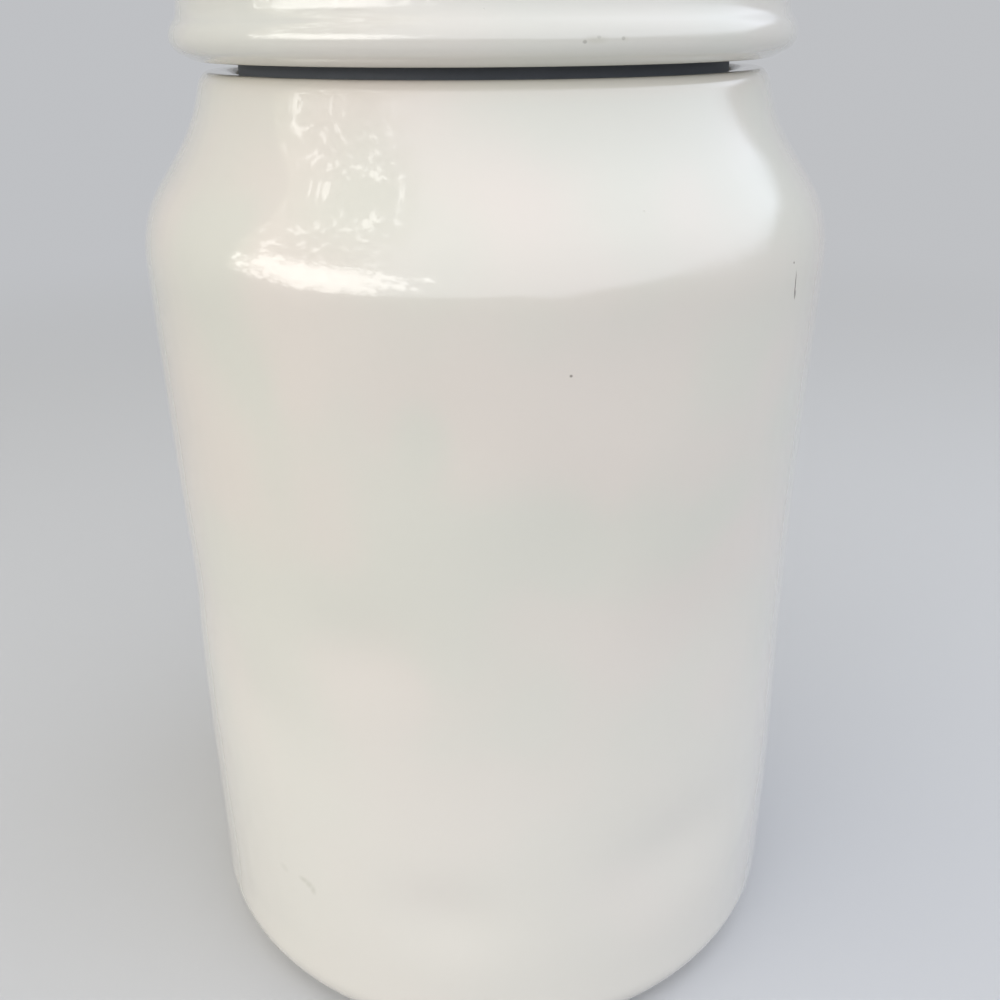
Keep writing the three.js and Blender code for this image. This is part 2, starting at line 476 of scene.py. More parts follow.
def lid_section(lid):
    """From the axis under the ceiling, round the plug and rim and over the top to the axis."""
    (edge, slope_end, *outside), side_radius, top_edge = lid_outside(lid)
    ceiling = top_edge - lid.wall
    side_inner = side_radius - lid.wall
    rim_inner = edge[0] - lid.rim_flat - lid.rim_inner_radius
    plug_inner = lid.groove_radius - lid.plug_wall
    bead = lid.groove_radius + lid.bead_step
    collar = lid.groove_radius + lid.collar_step
    rim_top = lid.rim_bottom + lid.rim_depth
    inside = rounded([
        (0, ceiling, 0),
        (plug_inner, ceiling, CEILING_ROUND),
        (plug_inner, lid.plug_bottom, PLUG_END_ROUND),
        (bead, lid.plug_bottom, PLUG_END_ROUND),
        (bead, lid.groove_bottom, GROOVE_EDGE_ROUND),
        (lid.groove_radius, lid.groove_bottom, GROOVE_ROUND),
        (lid.groove_radius, lid.groove_top, GROOVE_ROUND),
        (collar, lid.groove_top, GROOVE_EDGE_ROUND),
        (collar, ceiling, CEILING_ROUND),
        (side_inner, ceiling, CEILING_ROUND),
        (side_inner, rim_top, RIM_HOLLOW_ROUND),
        (rim_inner, rim_top - (side_inner - rim_inner), RIM_HOLLOW_ROUND),
        (rim_inner, lid.rim_bottom, lid.rim_inner_radius),
        (*edge, lid.rim_edge_radius),
        (*slope_end, 0),
    ])
    return inside + outside


def lid_offset(lid):
    """The lid's slight ovalness and the soft unevenness of its rim, all inside its true circle."""

    def offset(angles, radius, height):
        waves = (share * np.cos(lobes * angles + phase) for lobes, phase, share in RIM_WAVES)
        rise = fade(height, lid.rim_bottom, lid.rim_bottom + UNEVEN_RISE)
        return -lid.unevenness * (0.5 + sum(waves)) * fade(radius, *UNEVEN_RADII) * rise

    return offset


# Seal.

SLEEVE_ROUND = 0.0004
FIN_ROUND = 0.0003
FLANGE_ROOT_ROUND = 0.0006
FLANGE_REST_ROUND = 0.0005
FLANGE_TOP_ROUND = 0.0008


def seal_section(seal, jar):
    """The sleeve with its fins, thin blades that rise to the mouth, and the flange above them."""
    crest_radius = jar_top(jar, 0).end[0]
    fin_radius = crest_radius - jar.lip_inner_radius - seal.clearance
    outer = fin_radius - seal.fin_reach
    inner = outer - seal.sleeve_wall
    corners = [(inner, seal.bottom, SLEEVE_ROUND), (outer, seal.bottom, SLEEVE_ROUND)]
    for i in range(seal.fin_count):
        root = seal.bottom + seal.fin_first + i * seal.fin_spacing
        tip = root + seal.fin_rise
        corners += [
            (outer, root - seal.fin_root / 2, SLEEVE_ROUND),
            (fin_radius, tip - seal.fin_tip / 2, FIN_ROUND),
            (fin_radius, tip + seal.fin_tip / 2, FIN_ROUND),
            (outer, root + seal.fin_root / 2, SLEEVE_ROUND),
        ]
    flange = outer + seal.flange_reach
    clear_of_lip = jar.lip_inner_radius + seal.clearance
    lift = math.sqrt(clear_of_lip**2 - (crest_radius - flange) ** 2)
    corners += [
        (outer, seal.top - seal.flange_root, FLANGE_ROOT_ROUND),
        (flange, jar.height - jar.lip_inner_radius + lift, FLANGE_REST_ROUND),
        (flange, seal.top, FLANGE_TOP_ROUND),
        (inner, seal.top, SLEEVE_ROUND),
    ]
    section = rounded(corners, closed=True)
    return section + section[:1]


def no_offset(angles, radius, height):
    """The moulded seal is truly round."""
    return np.zeros_like(radius * angles)


# Finishes.


class Nodes:
    """A material's nodes, with short calls that add them and join them."""

    MIX_A, MIX_B, MIX_RESULT = 6, 7, 2
    ROWS, PITCH = 5, Vector((-220, -260))
    DOT_CORE = 0.6

    def __init__(self, name):
        self.material = renewed(bpy.data.materials, name)
        self.material.use_nodes = True
        self.tree = self.material.node_tree
        self.shader = self.tree.nodes["Principled BSDF"]

    @classmethod
    def of_tree(cls, tree):
        """The same calls for a node tree that belongs to something else."""
        nodes = cls.__new__(cls)
        nodes.tree = tree
        return nodes

    def add(self, kind, inputs=None, **settings):
        node = self.tree.nodes.new("ShaderNode" + kind)
        column, row = divmod(len(self.tree.nodes), self.ROWS)
        node.location = (self.PITCH.x * (column + 1), self.PITCH.y * (row - self.ROWS // 2))
        for name, value in settings.items():
            setattr(node, name, value)
        for name, value in (inputs or {}).items():
            self.feed(node.inputs[name], value)
        return node

    def feed(self, socket, value):
        if isinstance(value, bpy.types.NodeSocket):
            self.tree.links.new(value, socket)
        else:
            socket.default_value = value

    def coordinates(self):
        return self.add("TexCoord").outputs["Object"]

    def given(self, name):
        return self.add("Attribute", attribute_name=name).outputs["Fac"]

    def math(self, operation, first, second=0.0):
        return self.add("Math", {0: first, 1: second}, operation=operation).outputs[0]

    def times(self, first, second):
        return self.math("MULTIPLY", first, second)

    def vector(self, operation, *inputs, output="Vector"):
        node = self.add("VectorMath", dict(enumerate(inputs)), operation=operation)
        return node.outputs[output]

    def length(self, vector):
        return self.vector("LENGTH", vector, output="Value")

    def mix(self, factor, first, second):
        inputs = {0: factor, self.MIX_A: first, self.MIX_B: second}
        return self.add("Mix", inputs, data_type="RGBA").outputs[self.MIX_RESULT]

    def tint(self, factor, under, colour):
        """A colour laid over another, in parts of the factor."""
        return self.mix(factor, under, (*colour, 1))

    def blend(self, factor, first, second):
        """A shader laid over another in the same way."""
        return self.add("MixShader", {0: factor, 1: first, 2: second}).outputs[0]

    def spread(self, value, low, high, to_low=0.0, to_high=1.0, kind="SMOOTHSTEP"):
        """The value eased from one range to another and held at its ends."""
        inputs = dict(enumerate((value, low, high, to_low, to_high)))
        return self.add("MapRange", inputs, interpolation_type=kind).outputs[0]

    def noise(self, vector, size, detail=2.0, roughness=0.5):
        """Soft noise whose patches are about that size in metres."""
        inputs = {"Vector": vector, "Scale": 1 / size, "Detail": detail, "Roughness": roughness}
        return self.add("TexNoise", inputs).outputs[0]

    def dots(self, vector, cell, share, reach):
        """Round dots in a share of the cells of that size, with a reach in parts of a cell."""
        cells = self.add("TexVoronoi", {"Vector": vector, "Scale": 1 / cell})
        drawn = self.add("SeparateColor", {"Color": cells.outputs["Color"]}).outputs[0]
        near = self.spread(cells.outputs["Distance"], reach * self.DOT_CORE, reach, 1, 0)
        return self.times(self.math("GREATER_THAN", drawn, 1 - share), near)

    def marks(self, vector, marks, core=0.5):
        """Each mark's strength inside its core, a part of its reach, and 0 away from it."""
        total = 0.0
        for mark in marks:
            turn = math.radians(mark.angle)
            place = (mark.radius * math.cos(turn), mark.radius * math.sin(turn), mark.height)
            local = self.add("Mapping", {
                "Vector": vector, "Location": place, "Rotation": (0, 0, turn), "Scale": mark.reach,
            }, vector_type="TEXTURE")
            near = self.spread(self.length(local.outputs[0]), core, 1.0, mark.strength, 0)
            total = self.math("MAXIMUM", near, total)
        return total

    def bump(self, height, depth, under=None):
        """Relief of that depth in metres, laid over an earlier one."""
        inputs = {"Height": height, "Distance": depth, "Strength": 1.0}
        if under is not None:
            inputs["Normal"] = under
        return self.add("Bump", inputs).outputs[0]

    def show(self, shader, output="Material Output"):
        self.feed(self.tree.nodes[output].inputs["Surface"], shader)

    def finished(self, **inputs):
        """The material, with its shader's sockets set by name, with _ for a space."""
        for name, value in inputs.items():
            self.feed(self.shader.inputs[name.replace("_", " ")], value)
        return self.material


# Sizes and depths in metres, with a dot's reach in parts of its cell.
CLOUD_SIZE, GLOSS_PATCH, WAVE_SIZE, PEEL_SIZE = 0.034, 0.012, 0.016, 0.0022
SPECK_CELL, SPECK_REACH = 0.0097, 0.035
PIT_CELL, PIT_SHARE, PIT_REACH, PIT_DEPTH = 0.006, 0.10, 0.04, 0.00006
WANDER_SIZE, WANDER = 0.0015, 0.00025  # how the outlines of specks and marks stray

# Where each tint sets in and where it is full, and its share there.
CLOUD_CONTRAST = (0.32, 0.68)
# Painted light: the glaze colour turns lighter from 0.16 m down to 0.05 m, standing in for the
# brighter light low on the wall.
PAINTED_LIGHT_HEIGHTS = (0.16, 0.05, 0, 0.75)
POOLED_WHERE = (0.5, 0.85, 0, 0.5)
THIN_WHERE = (0.40, 0.05, 0, 0.35)
PATCH_CONTRAST = (0.3, 0.7)
GLOSS_RANGE = (0.8, 1.3)
SMUDGE_CORE, SMUDGE_DULLS = 0.1, 0.2
GLAZE_IOR, SURFACE_IOR = 1.5, 1.6


def glaze(name, look, marks, smudges, warm=(), cool=()):
    """Glossy off-white stoneware glaze: soft clouds, rare specks and pinholes, fine waves, and
    painted light that lightens it low on the wall.
    """
    nodes = Nodes(name)
    at = nodes.coordinates()
    stray = nodes.add("TexNoise", {"Vector": at, "Scale": 1 / WANDER_SIZE}).outputs["Color"]
    drawn = nodes.vector("ADD", at, nodes.vector("MULTIPLY", stray, (WANDER,) * 3))

    warmer = nodes.math("SUBTRACT", nodes.noise(at, CLOUD_SIZE, 1.0), nodes.marks(at, warm, 0.0))
    clouds = nodes.math("ADD", warmer, nodes.marks(at, cool, 0.0))
    cloudy = nodes.tint(nodes.spread(clouds, *CLOUD_CONTRAST), (*look.warm, 1), look.cool)
    hue = nodes.mix(look.clouding, (*look.colour, 1), cloudy)
    height = nodes.add("SeparateXYZ", {0: at}).outputs["Z"]
    # Painted light: a lighter colour low on the wall, for the brighter light that falls there.
    painted_lower_light = nodes.tint(nodes.spread(height, *PAINTED_LIGHT_HEIGHTS), hue, look.painted_light_low)
    thickness = nodes.given("glaze_build_up")
    pooled = nodes.tint(nodes.spread(thickness, *POOLED_WHERE), painted_lower_light, look.pooled)
    thinned = nodes.tint(nodes.spread(thickness, *THIN_WHERE), pooled, look.thin)
    specks = nodes.dots(drawn, SPECK_CELL, look.speck_share, SPECK_REACH)
    specked = nodes.tint(specks, thinned, look.speck)
    marked = nodes.tint(nodes.marks(drawn, marks), specked, look.speck)
    smudge = nodes.marks(drawn, smudges, SMUDGE_CORE)

    glossy, dull = (look.roughness * part for part in GLOSS_RANGE)
    patches = nodes.noise(at, GLOSS_PATCH, 3.0)
    gloss = nodes.spread(patches, *PATCH_CONTRAST, glossy, dull)
    waves = nodes.bump(nodes.noise(at, WAVE_SIZE, 1.0), look.wave_depth)
    peel = nodes.bump(nodes.noise(at, PEEL_SIZE, 2.0), look.peel_depth, waves)
    pits = nodes.dots(at, PIT_CELL, PIT_SHARE, PIT_REACH)
    return nodes.finished(
        Base_Color=nodes.tint(smudge, marked, look.smudge),
        Roughness=nodes.math("ADD", gloss, nodes.times(smudge, SMUDGE_DULLS)),
        IOR=GLAZE_IOR,
        Coat_Weight=1.0,
        Coat_Roughness=look.coat_roughness,
        Coat_IOR=SURFACE_IOR,
        Normal=nodes.bump(nodes.math("SUBTRACT", 1.0, pits), PIT_DEPTH, peel),
    )


GRAIN_SIZE, GRAIN_DEPTH, CLAY_PATCH = 0.0006, 0.00012, 0.009
GRIT = (0.0016, 0.25, 0.16)  # cell, share and reach of the dots
GRIT_SHOWS = 0.5
CLAY_ROUGHNESS = (0.2, 0.8, 0.78, 0.95)


def bare_clay(name, look):
    """Unglazed stoneware: dry, fine-grained and a little scuffed where it stands."""
    nodes = Nodes(name)
    at = nodes.coordinates()
    grain = nodes.noise(at, GRAIN_SIZE, 4.0, 0.65)
    patches = nodes.spread(nodes.noise(at, CLAY_PATCH, 3.0), *PATCH_CONTRAST)
    base = nodes.tint(patches, (*look.clay, 1), look.clay_dark)
    grit = nodes.times(nodes.dots(at, *GRIT), GRIT_SHOWS)
    return nodes.finished(
        Base_Color=nodes.tint(grit, base, look.grit),
        Roughness=nodes.spread(grain, *CLAY_ROUGHNESS),
        Normal=nodes.bump(grain, GRAIN_DEPTH),
    )


BLOOM_SIZE, BLOOM_WHERE, BLOOM_DULLS = 0.012, (0.3, 0.75, 0, 0.6), 0.15
DUST = (0.0022, 0.12, 0.10)
DUST_SHOWS = 0.5
MOULD_GRAIN, MOULD_DEPTH = 0.0004, 0.00003


def silicone(name, look):
    """Matt moulded silicone with a faint bloom and a few specks of dust."""
    nodes = Nodes(name)
    at = nodes.coordinates()
    bloom = nodes.noise(at, BLOOM_SIZE, 3.0)
    base = nodes.tint(nodes.spread(bloom, *BLOOM_WHERE), (*look.colour, 1), look.bloom)
    dust = nodes.times(nodes.dots(at, *DUST), DUST_SHOWS)
    dull = look.roughness + BLOOM_DULLS
    return nodes.finished(
        Base_Color=nodes.tint(dust, base, look.dust),
        Roughness=nodes.spread(bloom, *PATCH_CONTRAST, look.roughness, dull),
        Normal=nodes.bump(nodes.noise(at, MOULD_GRAIN, 3.0), MOULD_DEPTH),
    )


# Settings.


def setting(kind, **limits):
    """A short call for settings of one kind."""
    def make(name, description, default):
        return kind(name=name, description=description, default=default, **limits)

    return make


length = setting(FloatProperty, min=0, unit="LENGTH")
turn = setting(FloatProperty, unit="ROTATION")
colour = setting(FloatVectorProperty, min=0, max=1, subtype="COLOR")
share = setting(FloatProperty, min=0, max=1, subtype="FACTOR")
strength = setting(FloatProperty, min=0)
focal_length = setting(FloatProperty, unit="CAMERA")
count = setting(IntProperty, min=0)


def angle(name, description, degrees):
    return turn(name, description, math.radians(degrees))


class CanisterJar(PropertyGroup):
    radius: length("Radius", "The widest that the hand-finished wall gets", JAR_HIGH.x)
    height: length("Height", "Foot to the crest of the lip", JAR_HIGH.z)
    base_corner: length("Base corner", "Rounding from the foot into the wall", 0.0128)
    shoulder_radius: length("Shoulder rounding", "Turn at the top of the straight wall", 0.029)
    shoulder_lean: angle("Shoulder lean", "Lean of the shoulder's slope", 35.5)
    shoulder_slope: length("Shoulder slope", "Straight part of the shoulder", 0.0085)
    cove_radius: length("Cove", "Hollow turn from the shoulder up to the neck", 0.0396)
    neck_lean: angle("Neck lean", "Lean of the neck under the lip", 15.6)
    neck_length: length("Neck", "Straight part under the lip", 0.0025)
    lip_radius: length("Lip", "Outer rounding of the lip", 0.0051)
    lip_lean: angle("Lip lean", "Where a tighter turn takes over", 45)
    lip_edge_radius: length("Lip edge", "That turn, which ends in the flat crest", 0.002)
    lip_flat: length("Lip flat", "Width of the flat crest", 0.002)
    lip_inner_radius: length("Lip inside", "Inner rounding of the lip", 0.0052)
    mouth_land: length("Mouth land", "Upright band where the seal bears", 0.0066)
    inner_neck_lean: angle("Inner neck lean", "Where the inside leaves the wall's line", 29)
    wall: length("Wall", "Thickness of the wall", 0.006)
    floor: length("Floor", "Height of the floor inside", 0.007)
    floor_corner: length("Floor corner", "Rounding from the floor into the wall", 0.009)
    foot_width: length("Foot ring", "Width of the flat ring that the jar stands on", 0.008)
    foot_recess: length("Foot recess", "How far the underside is raised inside the ring", 0.0024)
    foot_bare: angle("Bare foot", "Turn of the corner that stays unglazed", 19)
    glaze_coat: length("Glaze", "Step from the bare clay out to the glaze", 0.00045)
    glaze_edge: angle("Glaze edge", "Turn of the corner that the glaze's edge takes", 2.2)
    slack: length("Slack", "How far the wall lies inside its widest circle", 0.0005)
    dent_count: count("Dents", "Soft dents round the sides and back", 26)
    seed: count("Seed", "Chooses where those dents lie", 4)


class CanisterLid(PropertyGroup):
    radius: length("Radius", "Widest point of the rolled rim", LID_HIGH.x)
    rim_bottom: length("Rim bottom", "Height of the flat under the rim", JAR_HIGH.z + 0.0022)
    rim_flat: length("Rim flat", "Flat under the rim, inwards from its lower edge", 0.0042)
    rim_edge_radius: length("Rim edge", "Rounding of that edge", 0.0012)
    rim_slope: angle("Rim slope", "How steeply the underside rises from that edge", 26)
    rim_slope_length: length("Rim slope length", "Straight part of the underside", 0.0034)
    rim_turn: length("Rim turn", "Turn from the underside up to the widest point", 0.0036)
    rim_radius: length("Rim rounding", "Turn above the widest point", 0.005)
    rim_lean: angle("Rim lean", "Where that turn meets the hollow one", 40)
    rim_cove: length("Rim cove", "Hollow turn into the side", 0.0042)
    rim_inner_radius: length("Rim inside", "Inner rounding of the rim", 0.003)
    rim_depth: length("Rim depth", "Height of the thick rim on its inner side", 0.0084)
    side_lean: angle("Side lean", "Lean of the side", 5)
    side_length: length("Side", "Straight part of the side", 0.00419)
    edge_radius: length("Top edge", "Rounding from the side to the top", 0.006)
    dome_slope: angle("Dome slope", "How steeply the top falls at its edge", 4)
    wall: length("Wall", "Thickness of the side and top", 0.006)
    groove_radius: length("Groove", "Radius of the groove that holds the seal", 0.0483)
    groove_bottom: length("Groove bottom", "Height of the groove's lower side", SEAL_LOW.z - 0.0003)
    groove_top: length("Groove top", "Height of the groove's upper side", SEAL_HIGH.z + 0.0003)
    plug_bottom: length("Plug bottom", "Height of the plug's lower end", LID_LOW.z)
    plug_wall: length("Plug wall", "Thickness of the plug in its groove", 0.0053)
    bead_step: length("Bead", "How far the plug's end stands out of the groove", 0.002)
    collar_step: length("Collar", "How far the plug's root stands out of the groove", 0.0023)
    bare_height: length("Bare end", "Height of the unglazed end that stood in the kiln", 0.0006)
    unevenness: length("Unevenness", "How far the rim strays from a true circle", 0.00035)


class CanisterSeal(PropertyGroup):
    top: length("Top", "Height of the sleeve's top", SEAL_HIGH.z)
    bottom: length("Bottom", "Height of the sleeve's bottom", SEAL_LOW.z)
    fin_reach: length("Fin reach", "How far a fin stands out of the sleeve", 0.0054)
    sleeve_wall: length("Sleeve wall", "Thickness of the sleeve", 0.0024)
    fin_count: count("Fins", "Number of fins", 2)
    fin_spacing: length("Fin spacing", "Height from one fin to the next", 0.0034)
    fin_first: length("First fin", "Height of the lowest fin above the bottom", 0.0013)
    fin_rise: length("Fin rise", "Height of a fin's tip above its root", 0.001)
    fin_root: length("Fin root", "Thickness of a fin at the sleeve", 0.0018)
    fin_tip: length("Fin tip", "Thickness of a fin at its tip", 0.0007)
    flange_reach: length("Flange reach", "How far the flange stands out of the sleeve", 0.0062)
    flange_root: length("Flange root", "Thickness of the flange at the sleeve", 0.0026)
    clearance: length("Clearance", "Between the seal and the mouth and lip", 0.0003)


class CanisterGlaze(PropertyGroup):
    colour: colour("Glaze", "Colour of the glaze", (0.618, 0.586, 0.528))
    warm: colour("Warm cloud", "Tint of the warmer clouds", (0.656, 0.587, 0.522))
    cool: colour("Cool cloud", "Tint of the cooler clouds", (0.584, 0.590, 0.508))
    # Painted light, not a run of glaze: a lighter colour low on the wall for the brighter light
    # there.
    painted_light_low: colour("Milky glaze", "Colour low on the wall, where it has run", (0.735, 0.705, 0.642))
    pooled: colour("Pooled glaze", "Colour where the glaze lies thick", (0.565, 0.565, 0.522))
    thin: colour("Thin glaze", "Colour where the glaze thins over an edge", (0.620, 0.562, 0.485))
    speck: colour("Specks", "Colour of the iron specks and marks", (0.090, 0.070, 0.050))
    smudge: colour("Smudge", "Colour of the faint smudges", (0.400, 0.390, 0.300))
    clouding: share("Clouding", "How much of the clouds' tint shows", 0.55)
    speck_share: share("Speck share", "Share of centimetre cells that hold a speck", 0.02)
    roughness: share("Roughness", "Roughness under the clear surface", 0.16)
    coat_roughness: share("Surface roughness", "Roughness of the clear surface", 0.03)
    wave_depth: length("Waves", "Depth of the slow waves in the glaze", 0.00010)
    peel_depth: length("Peel", "Depth of the fine ripple in the glaze", 0.000006)
    clay: colour("Clay", "Colour of the bare clay", (0.560, 0.480, 0.380))
    clay_dark: colour("Dark clay", "Colour of its darker patches", (0.470, 0.390, 0.300))
    grit: colour("Grit", "Colour of the grit in the clay", (0.180, 0.130, 0.090))


class CanisterSilicone(PropertyGroup):
    colour: colour("Silicone", "Colour of the seal", (0.150, 0.165, 0.190))
    bloom: colour("Bloom", "Colour of its faint bloom", (0.200, 0.215, 0.240))
    dust: colour("Dust", "Colour of the dust on it", (0.400, 0.390, 0.370))
    roughness: share("Roughness", "Roughness of the seal", 0.5)


class CanisterStage(PropertyGroup):
    floor: colour("Floor", "Colour of the floor", (0.560, 0.565, 0.575))
    backdrop: colour("Backdrop", "Colour of everything beyond the floor", (0.520, 0.530, 0.550))
    fill: strength("Fill", "Strength of the light from all round", 0.14)
    warm_side: strength("Warm side", "Strength of the warmer light from the left", 1.3)
    cool_side: strength("Cool side", "Strength of the cooler light from the right and behind", 0.55)
    scrim: strength("Scrim", "Strength of the large curved scrim in front", 1.8)
    lamp: strength("Lamp", "Strength of the low lamp behind its left part", 2.75)
    distance: length("Camera distance", "From the axis to the camera, level", 0.2706)
    camera_height: length("Camera height", "Height of the camera", 0.2417)
    tilt: angle("Camera tilt", "How far the camera looks down", 24.55)
    pan: angle("Camera pan", "How far the camera turns to the right", 0.64)
    roll: angle("Camera roll", "How far the camera leans", -0.40)
    lens: focal_length("Lens", "Focal length on a full frame", 37.8)


class CanisterSettings(PropertyGroup):
    jar: PointerProperty(type=CanisterJar)
    lid: PointerProperty(type=CanisterLid)
    seal: PointerProperty(type=CanisterSeal)
    glaze: PointerProperty(type=CanisterGlaze)
    silicone: PointerProperty(type=CanisterSilicone)
    stage: PointerProperty(type=CanisterStage)


# Stage.

# The light from each side: its setting, direction and tint.
SIDES = (
    ("warm_side", (-1, 0, 0), (1, 0.96, 0.84)),
    ("cool_side", (0.75, 0.66, 0), (0.87, 0.92, 1)),
)
SIDE_BEGINS = -0.1  # cosine at which a side's light sets in

SCRIM_RADIUS = 1.1
SCRIM_CENTRE = Vector((0, 0, 0.21))
SCRIM_TOP = 84
SCRIM_COLUMNS = 56
SCRIM_ROWS = 16
# By degrees to the right of the front: the scrim's lower edge in degrees above level, how many
# degrees it takes to begin, how dense it is, and its shades.
SCRIM_EDGE = (
    (-86, 5), (-60, 2), (-30, 2), (10, 3), (22, -1), (36, 1.3), (50, 3), (64, 5.5), (79, 7.5),
    (95, 9.5), (112, 17), (140, 20),
)
SCRIM_SOFTNESS = (
    (-86, 1), (10, 1), (22, 6), (50, 7), (64, 12), (79, 20), (95, 18), (112, 6), (140, 6),
)
SCRIM_COVER = ((-86, 1), (115, 1), (122, 0.6), (130, 0.4), (140, 0.25))
SCRIM_SHADES = (
    (-86, (0.49, 0.47, 0.43)),
    (-46, (0.51, 0.50, 0.47)),
    (-26, (0.80, 0.81, 0.84)),
    (25, (0.76, 0.78, 0.84)),
    (80, (0.88, 0.92, 1.00)),
    (140, (0.80, 0.86, 0.97)),
)
STRAY_WHERE = (75, 30, 0, 40)  # where the shades' borders turn ragged, and how far

# The dapples on the scrim and the lamp behind it.
DAPPLE_AZIMUTHS = (-90, -75, -42, -28)
DAPPLE_SIZE = 0.07
DAPPLE_EDGE = (0.06, 0.09)
DAPPLE_SHARE = 0.8  # of the lamp's strength
LAMP_AZIMUTH, LAMP_HEIGHT = -51, 0.21
LAMP_REACH = (27, 0.15)
LAMP_EDGE = (1.1, 0.8)
LAMP_RAGGED = 8.0
SPOT_TINT = (1, 0.98, 0.94, 1)

FLOOR_RADIUS = 5.0
FLOOR_SIDES = 96
FLOOR_FADE = (0.30, 1.05)
FLOOR_ROUGHNESS, FLOOR_SHINE = 0.75, 0.2

FULL_FRAME = 36  # the sensor's width in millimetres
NEAREST_SEEN = 0.01


def toward(azimuth, elevation):
    """A direction by degrees right of straight towards the front, and degrees above level."""
    turn, lift = math.radians(azimuth), math.radians(elevation)
    return Vector((
        math.sin(turn) * math.cos(lift), -math.cos(turn) * math.cos(lift), math.sin(lift)))


def put_on_stage(name, data):
    """A thing that belongs to the studio."""
    thing = put_object(name, data)
    return thing


def seen_directly(nodes):
    """1 for rays from the camera or off a glossy or clear surface, and 0 for soft light."""
    path = nodes.add("LightPath").outputs
    glossy = nodes.math("MAXIMUM", path["Is Camera Ray"], path["Is Glossy Ray"])
    return nodes.math("MAXIMUM", glossy, path["Is Transmission Ray"])


def make_floor(look):
    """A plain pale floor that fades into the backdrop's colour far away."""
    disc = bmesh.new()
    bmesh.ops.create_circle(disc, cap_ends=True, segments=FLOOR_SIDES, radius=FLOOR_RADIUS)
    mesh = bpy.data.meshes.new("floor")
    disc.to_mesh(mesh)
    disc.free()
    put_on_stage("floor", mesh)
    nodes = Nodes("floor")
    glow = nodes.add("Emission", {"Color": (*look.backdrop, 1), "Strength": 1.0}).outputs[0]
    away = nodes.spread(nodes.length(nodes.coordinates()), *FLOOR_FADE)
    far = nodes.times(away, seen_directly(nodes))
    nodes.show(nodes.blend(far, nodes.shader.outputs[0], glow))
    mesh.materials.append(nodes.finished(
        Base_Color=(*look.floor, 1), Roughness=FLOOR_ROUGHNESS, Specular_IOR_Level=FLOOR_SHINE))


def make_world(look):
    """Soft light all round with a warm and a cool side, and the plain backdrop that is seen."""
    world = bpy.data.worlds.new("studio")
    world.use_nodes = True
    bpy.context.scene.world = world
    nodes = Nodes.of_tree(world.node_tree)
    facing = nodes.add("TexCoord").outputs["Generated"]
    light = (look.fill,) * 3
    for name, side, tint in SIDES:
        along = nodes.vector("DOT_PRODUCT", facing, side, output="Value")
        glow = nodes.spread(along, SIDE_BEGINS, 1.0, 0, getattr(look, name))
        light = nodes.vector("ADD", nodes.vector("MULTIPLY", tint, glow), light)
    soft = nodes.tree.nodes["Background"]
    nodes.feed(soft.inputs["Color"], light)
    pale = nodes.add("Background", {"Color": (*look.backdrop, 1)}).outputs[0]
    nodes.show(nodes.blend(seen_directly(nodes), soft.outputs[0], pale), "World Output")


def scrim_mesh():
    """The curved sheet, with how far past its soft edge each point is and how dense it is there."""
    azimuths = np.linspace(SCRIM_EDGE[0][0], SCRIM_EDGE[-1][0], SCRIM_COLUMNS + 1)
    edge = np.interp(azimuths, *zip(*SCRIM_EDGE))
    softness = np.interp(azimuths, *zip(*SCRIM_SOFTNESS))
    cover = np.interp(azimuths, *zip(*SCRIM_COVER))
    vertices, rise = [], []
    for azimuth, middle, width in zip(azimuths, edge, softness):
        for elevation in np.linspace(middle - width / 2, SCRIM_TOP, SCRIM_ROWS + 1):
            vertices.append(SCRIM_CENTRE + toward(azimuth, elevation) * SCRIM_RADIUS)
            rise.append((elevation - middle) / width + 0.5)
    faces = []
    for column in range(SCRIM_COLUMNS):
        for row in range(SCRIM_ROWS):
            low = column * (SCRIM_ROWS + 1) + row
            high = low + SCRIM_ROWS + 1
            faces.append((low, low + 1, high + 1, high))
    mesh = bpy.data.meshes.new("scrim")
    mesh.from_pydata(vertices, [], faces)
    mesh.shade_smooth()
    give_values(mesh, "rise", rise)
    give_values(mesh, "cover", np.repeat(cover, SCRIM_ROWS + 1))
    return mesh


def scrim_shade(nodes, azimuth):
    """The scrim's shade at an azimuth."""
    left, right = SCRIM_SHADES[0][0], SCRIM_SHADES[-1][0]
    ramp = nodes.add("ValToRGB", {"Fac": nodes.spread(azimuth, left, right, kind="LINEAR")})
    stops = ramp.color_ramp.elements
    for _ in SCRIM_SHADES[2:]:
        stops.new(0.5)
    for stop, (place, shade) in zip(stops, SCRIM_SHADES):
        stop.position = (place - left) / (right - left)
        stop.color = (*shade, 1)
    return ramp.outputs[0]


def scrim_spots(nodes, look, azimuth, height, ragged):
    """The strength of the lamp behind the scrim and of the dapples on it."""
    begins, full, fades, ends = DAPPLE_AZIMUTHS
    sides = nodes.times(nodes.spread(azimuth, begins, full), nodes.spread(azimuth, ends, fades))
    dappled = nodes.times(sides, nodes.spread(ragged, *DAPPLE_EDGE))
    aside = nodes.math("DIVIDE", nodes.math("SUBTRACT", azimuth, LAMP_AZIMUTH), LAMP_REACH[0])
    lift = nodes.math("SUBTRACT", height, SCRIM_CENTRE.z + LAMP_HEIGHT)
    above = nodes.math("DIVIDE", lift, LAMP_REACH[1])
    away = nodes.math("ADD", nodes.times(aside, aside), nodes.times(above, above))
    torn = nodes.math("ADD", away, nodes.times(ragged, LAMP_RAGGED))
    lamp = nodes.times(nodes.spread(torn, *LAMP_EDGE), look.lamp)
    return nodes.math("ADD", lamp, nodes.times(dappled, look.lamp * DAPPLE_SHARE))


